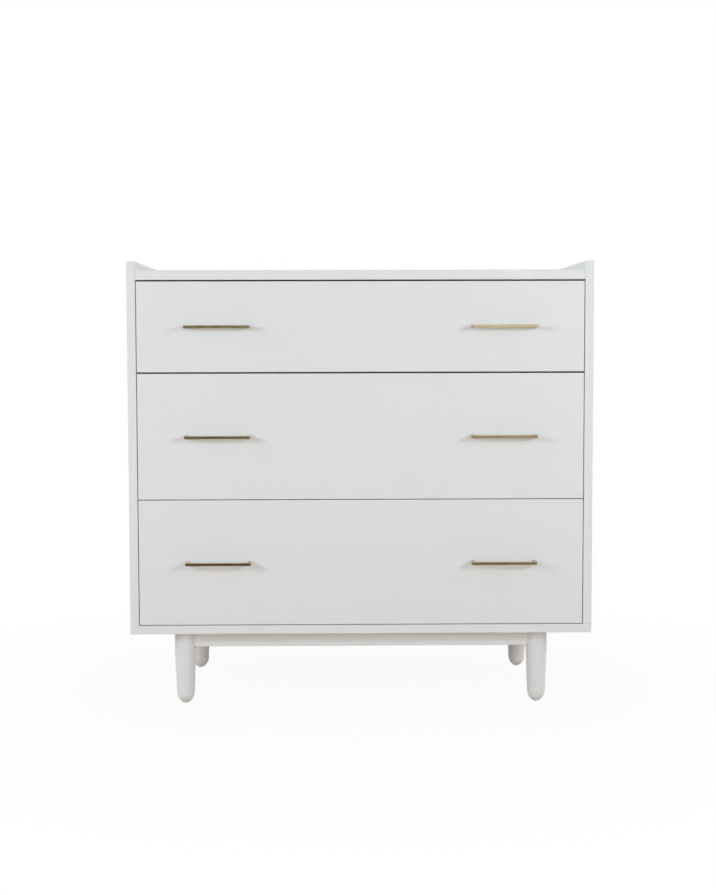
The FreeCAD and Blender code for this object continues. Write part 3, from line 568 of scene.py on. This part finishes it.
def make_world():
    """A white studio all round, which gives an even fill."""
    world = bpy.data.worlds.new("studio")
    bpy.context.scene.world = world
    graph = empty_graph(world)
    light = graph.add("ShaderNodeBackground", {"Color": WHITE, "Strength": WORLD_LIGHT}).outputs[0]
    shown = graph.add("ShaderNodeBackground", {"Color": WHITE, "Strength": 1.0}).outputs[0]
    both = graph.add("ShaderNodeMixShader", {0: show_rays(graph), 1: light, 2: shown}).outputs[0]
    graph.add("ShaderNodeOutputWorld", {"Surface": both})


def make_lamp(name, place, aim, size, watts, tint):
    """A lamp of a width and height that looks at a point; neither the camera nor mirror images show it."""
    lamp = bpy.data.lights.new(name, "AREA")
    lamp.shape = "RECTANGLE"
    lamp.size, lamp.size_y = size
    lamp.energy = watts
    lamp.color = tint
    holder = bpy.data.objects.new(name, lamp)
    holder.visible_camera = False
    holder.visible_glossy = False
    holder.location = place
    holder.rotation_euler = (Vector(aim) - Vector(place)).to_track_quat("-Z", "Y").to_euler()
    bpy.context.scene.collection.objects.link(holder)


def make_lights():
    """Two small lamps that draw the shadows, and wide soft ones all round and above."""
    middle = (0.0, -0.22, 0.55)
    small = (0.16, 0.16)
    make_lamp("lamp_left", place=(-1.74, -1.64, 1.03), aim=middle, size=small, watts=5.6, tint=COOL)
    make_lamp("lamp_right", place=(1.24, -1.69, 1.03), aim=middle, size=small, watts=3.5, tint=COOL)
    make_lamp("lamp_front", place=(0.0, -4.30, 0.85), aim=(0.0, 0.0, 0.85), size=(3.0, 1.6),
              watts=47.2, tint=WARM)
    make_lamp("lamp_behind", place=(0.0, 4.00, 0.95), aim=(0.0, 0.0, 0.60), size=(2.4, 1.4),
              watts=88.0, tint=PLAIN)
    make_lamp("lamp_above", place=(0.0, 0.50, 3.00), aim=(0.0, 0.45, 0.0), size=(0.8, 2.0),
              watts=16.5, tint=PLAIN)
    for side, sign in zip(SIDES, (-1, 1)):
        make_lamp(f"lamp_corner_{side}", place=(sign * 2.4, -3.0, 1.38), aim=middle, size=(1.6, 1.0),
                  watts=18.0, tint=COOL)
        make_lamp(f"lamp_beside_{side}", place=(sign * 2.6, -1.0, 1.6), aim=(0.0, -0.2, 0.4), size=(2.4, 1.6),
                  watts=24.0, tint=PLAIN)
        make_lamp(f"lamp_end_{side}", place=(sign * 3.2, 0.6, 0.8), aim=(0.0, 0.1, 0.45), size=(1.4, 1.2),
                  watts=12.5, tint=PLAIN)


def make_camera():
    """The camera at the photograph's place, from its yaw, its downward pitch and its roll."""
    ahead = Vector((math.cos(CAMERA_PITCH) * math.sin(CAMERA_YAW),
                    math.cos(CAMERA_PITCH) * math.cos(CAMERA_YAW), -math.sin(CAMERA_PITCH)))
    level = Vector((math.cos(CAMERA_YAW), -math.sin(CAMERA_YAW), 0.0))
    above = level.cross(ahead)
    right = math.cos(CAMERA_ROLL) * level + math.sin(CAMERA_ROLL) * above
    up = math.cos(CAMERA_ROLL) * above - math.sin(CAMERA_ROLL) * level
    data = bpy.data.cameras.new("camera")
    data.sensor_width = SENSOR_MM
    data.lens = FOCAL_PIXELS * SENSOR_MM / max(PHOTO_WIDTH, PHOTO_HEIGHT)
    camera = bpy.data.objects.new("camera", data)
    turn = Matrix((right, up, -ahead)).transposed().to_4x4()
    camera.matrix_world = Matrix.Translation(CAMERA_PLACE) @ turn
    bpy.context.scene.collection.objects.link(camera)
    bpy.context.scene.camera = camera


bpy.context.scene.view_settings.view_transform = "Standard"
finishes = make_finishes()
finish_nodes(finishes)
make_screws(finishes["screw"])
make_floor()
make_painted_reflections()
make_world()
make_lights()
make_camera()
